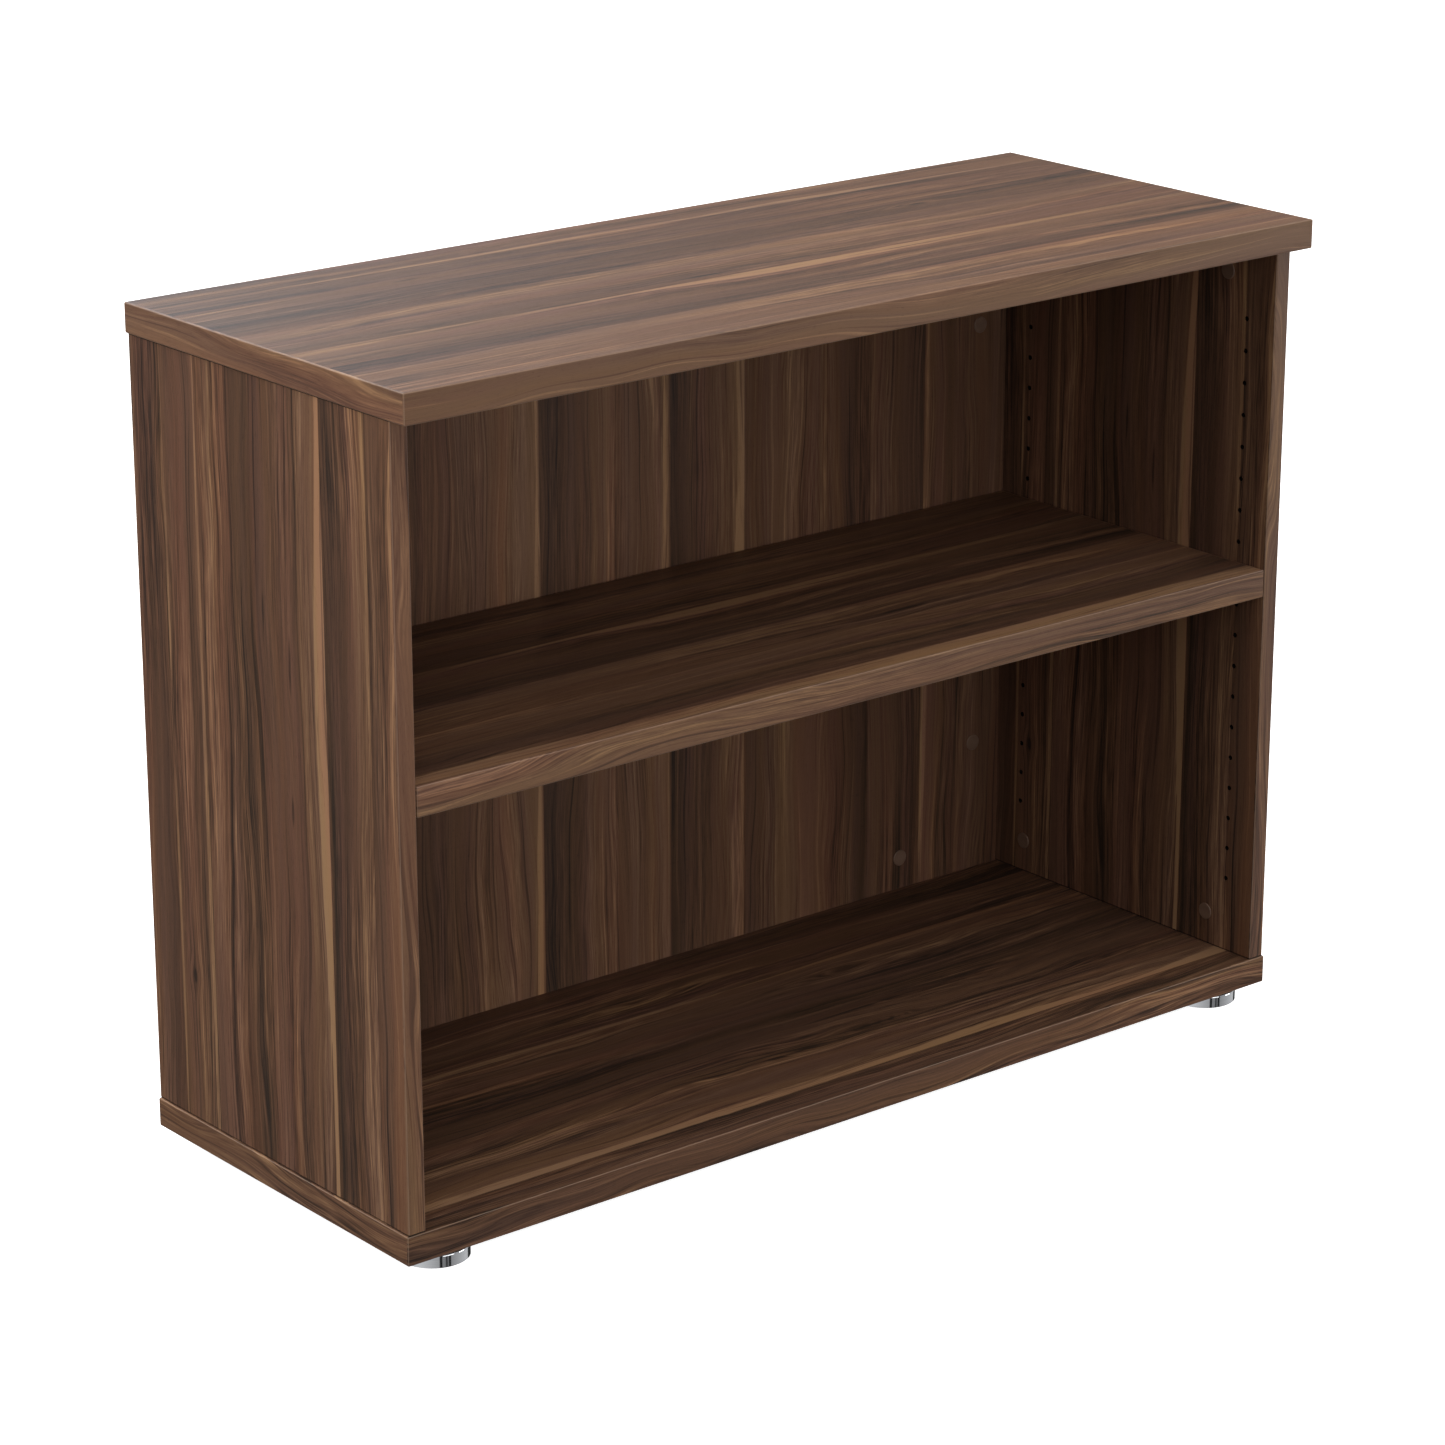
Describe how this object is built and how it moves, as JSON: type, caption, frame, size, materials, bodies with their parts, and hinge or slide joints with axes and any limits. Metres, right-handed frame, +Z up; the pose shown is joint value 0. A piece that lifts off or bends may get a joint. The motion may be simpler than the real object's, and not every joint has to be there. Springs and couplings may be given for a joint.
{
  "type": "bookcase with adjustable shelf",
  "caption": "Low open bookcase with pin-drilled side panels, overhanging top, inset back, an adjustable shelf on hidden pins and round chrome levelling feet.",
  "frame": {"origin": "on the floor, under the middle of the bookcase's outline", "axes": "+X to the bookcase's right as seen from its open front, +Y to its back, +Z up"},
  "size_m": [1.06, 0.423, 0.8],
  "materials": {
    "walnut_board": "satin melamine with plank-match walnut grain",
    "edge_band": "satin, long walnut grain",
    "zinc": "die-cast, dull",
    "plated_steel": "zinc plated",
    "beech": "raw",
    "brown_plastic": "fine matt",
    "chrome": "polished",
    "black_plastic": "fine matt"
  },
  "bodies": {
    "carcass": {"back_cam_bolts": "plated_steel", "back_cam_locks": "zinc", "back_cover_caps": "brown_plastic", "back_dowels": "beech", "back_panel": "walnut_board", "base_front_band": "edge_band", "base_left_band": "edge_band", "base_panel": "walnut_board", "base_rear_band": "edge_band", "base_right_band": "edge_band", "foot_inserts": "plated_steel", "left_side_cam_bolts": "plated_steel", "left_side_cam_locks": "zinc", "left_side_cover_caps": "brown_plastic", "left_side_dowels": "beech", "left_side_front_band": "edge_band", "left_side_panel": "walnut_board", "left_side_rear_band": "edge_band", "right_side_cam_bolts": "plated_steel", "right_side_cam_locks": "zinc", "right_side_cover_caps": "brown_plastic", "right_side_dowels": "beech", "right_side_front_band": "edge_band", "right_side_panel": "walnut_board", "right_side_rear_band": "edge_band", "top_front_band": "edge_band", "top_left_band": "edge_band", "top_panel": "walnut_board", "top_rear_band": "edge_band", "top_right_band": "edge_band"},
    "shelf": {"shelf_board": "walnut_board", "shelf_front_band": "edge_band", "shelf_rear_band": "edge_band", "shelf_left_band": "edge_band", "shelf_right_band": "edge_band"},
    "front_left_pin": {"front_left_shelf_pin": "plated_steel"},
    "front_left_glide": {"front_left_foot_pad": "black_plastic"},
    "front_left_screw": {"front_left_foot_cup": "chrome", "front_left_foot_stem": "plated_steel"},
    "front_right_pin": {"front_right_shelf_pin": "plated_steel"},
    "front_right_glide": {"front_right_foot_pad": "black_plastic"},
    "front_right_screw": {"front_right_foot_cup": "chrome", "front_right_foot_stem": "plated_steel"},
    "rear_left_pin": {"rear_left_shelf_pin": "plated_steel"},
    "rear_left_glide": {"rear_left_foot_pad": "black_plastic"},
    "rear_left_screw": {"rear_left_foot_cup": "chrome", "rear_left_foot_stem": "plated_steel"},
    "rear_right_pin": {"rear_right_shelf_pin": "plated_steel"},
    "rear_right_glide": {"rear_right_foot_pad": "black_plastic"},
    "rear_right_screw": {"rear_right_foot_cup": "chrome", "rear_right_foot_stem": "plated_steel"}
  },
  "joints": [
    {"name": "shelf_lift", "type": "slide", "parent": "carcass", "child": "shelf", "axis": [0, 0, 1], "range_m": [0, 0.256]},
    {"name": "front_left_pin_pull", "type": "slide", "parent": "carcass", "child": "front_left_pin", "axis": [1, 0, 0], "range_m": [0, 0.009]},
    {"name": "front_right_pin_pull", "type": "slide", "parent": "carcass", "child": "front_right_pin", "axis": [-1, 0, 0], "range_m": [0, 0.009]},
    {"name": "rear_left_pin_pull", "type": "slide", "parent": "carcass", "child": "rear_left_pin", "axis": [1, 0, 0], "range_m": [0, 0.009]},
    {"name": "rear_right_pin_pull", "type": "slide", "parent": "carcass", "child": "rear_right_pin", "axis": [-1, 0, 0], "range_m": [0, 0.009]},
    {"name": "front_left_foot_lower", "type": "slide", "parent": "carcass", "child": "front_left_glide", "axis": [0, 0, -1], "range_m": [0, 0.01]},
    {"name": "front_left_foot_turn", "type": "hinge", "parent": "front_left_glide", "child": "front_left_screw", "pos_m": [-0.4775, -0.1533, 0.013], "axis": [0, 0, -1], "range_deg": [0, 2400]},
    {"name": "front_right_foot_lower", "type": "slide", "parent": "carcass", "child": "front_right_glide", "axis": [0, 0, -1], "range_m": [0, 0.01]},
    {"name": "front_right_foot_turn", "type": "hinge", "parent": "front_right_glide", "child": "front_right_screw", "pos_m": [0.4775, -0.1533, 0.013], "axis": [0, 0, -1], "range_deg": [0, 2400]},
    {"name": "rear_left_foot_lower", "type": "slide", "parent": "carcass", "child": "rear_left_glide", "axis": [0, 0, -1], "range_m": [0, 0.01]},
    {"name": "rear_left_foot_turn", "type": "hinge", "parent": "rear_left_glide", "child": "rear_left_screw", "pos_m": [-0.4775, 0.1783, 0.013], "axis": [0, 0, -1], "range_deg": [0, 2400]},
    {"name": "rear_right_foot_lower", "type": "slide", "parent": "carcass", "child": "rear_right_glide", "axis": [0, 0, -1], "range_m": [0, 0.01]},
    {"name": "rear_right_foot_turn", "type": "hinge", "parent": "rear_right_glide", "child": "rear_right_screw", "pos_m": [0.4775, 0.1783, 0.013], "axis": [0, 0, -1], "range_deg": [0, 2400]}
  ],
  "couplings": [
    {"joint": "front_left_foot_lower", "follows": "front_left_foot_turn", "m_per_rad": 0.00023873},
    {"joint": "front_right_foot_lower", "follows": "front_right_foot_turn", "m_per_rad": 0.00023873},
    {"joint": "rear_left_foot_lower", "follows": "rear_left_foot_turn", "m_per_rad": 0.00023873},
    {"joint": "rear_right_foot_lower", "follows": "rear_right_foot_turn", "m_per_rad": 0.00023873}
  ]
}
